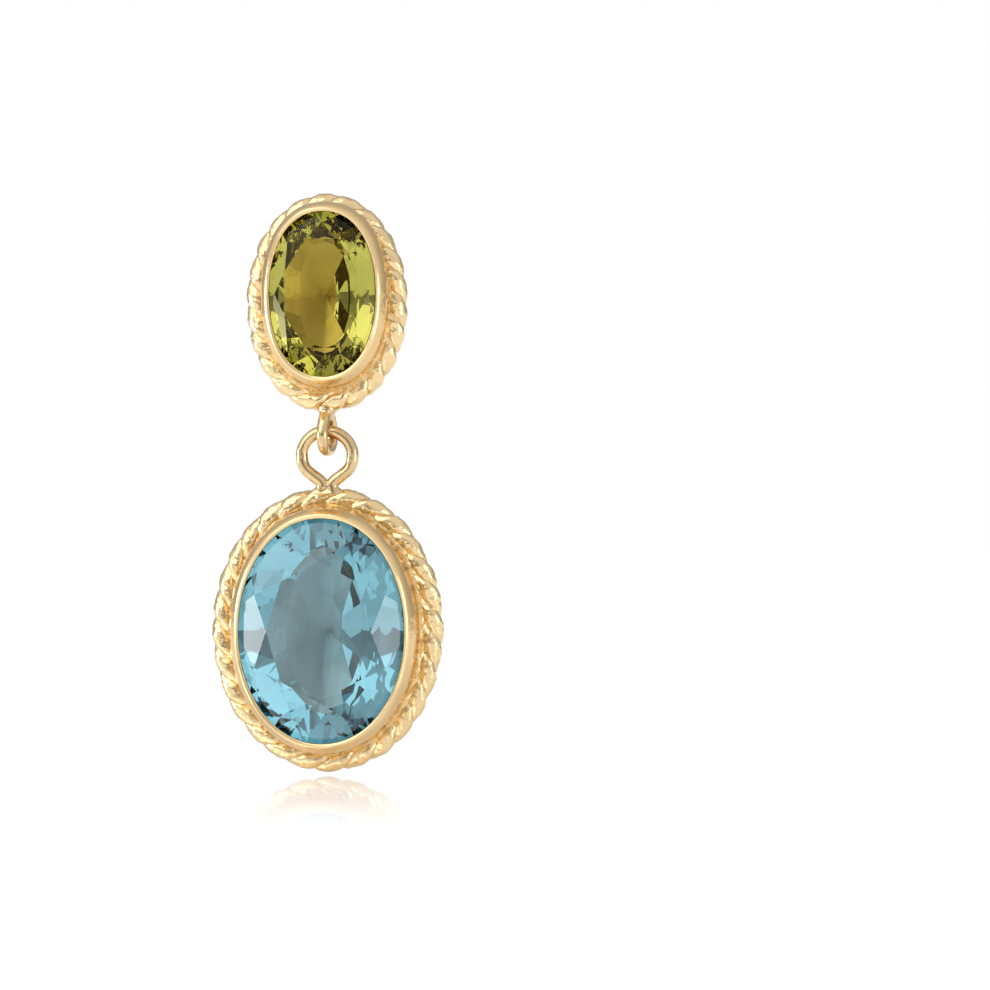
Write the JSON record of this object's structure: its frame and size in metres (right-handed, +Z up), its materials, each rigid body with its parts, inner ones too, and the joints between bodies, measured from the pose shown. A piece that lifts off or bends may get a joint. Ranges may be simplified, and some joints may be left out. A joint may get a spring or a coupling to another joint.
{
  "type": "drop earring",
  "caption": "Gold post earring with an oval green stone on the stud and a larger oval blue stone hanging below it, both in twisted rope frames.",
  "frame": {"origin": "on the ear post's axis, at the flat back of the stud, where it lies against the ear lobe", "axes": "+Z up, -Y towards the front of the face stones, +Y along the ear post to its tip, +X to the right seen from the front"},
  "size_m": [0.008, 0.0142, 0.0201],
  "materials": {
    "gold": "polished yellow gold, with softly uneven hand-soldered rope frames",
    "green_stone": "clear faceted olive green stone, polished",
    "blue_stone": "clear faceted sky blue stone, polished"
  },
  "bodies": {
    "stud": {"stud_setting": "gold", "stud_stone": "green_stone"},
    "pendant": {"pendant_setting": "gold", "pendant_stone": "blue_stone"}
  },
  "joints": [
    {"name": "drop_swing", "type": "hinge", "parent": "stud", "child": "pendant", "pos_m": [0, -0.00093, -0.00477], "axis": [1, 0, 0], "range_deg": [-110, 100]}
  ]
}
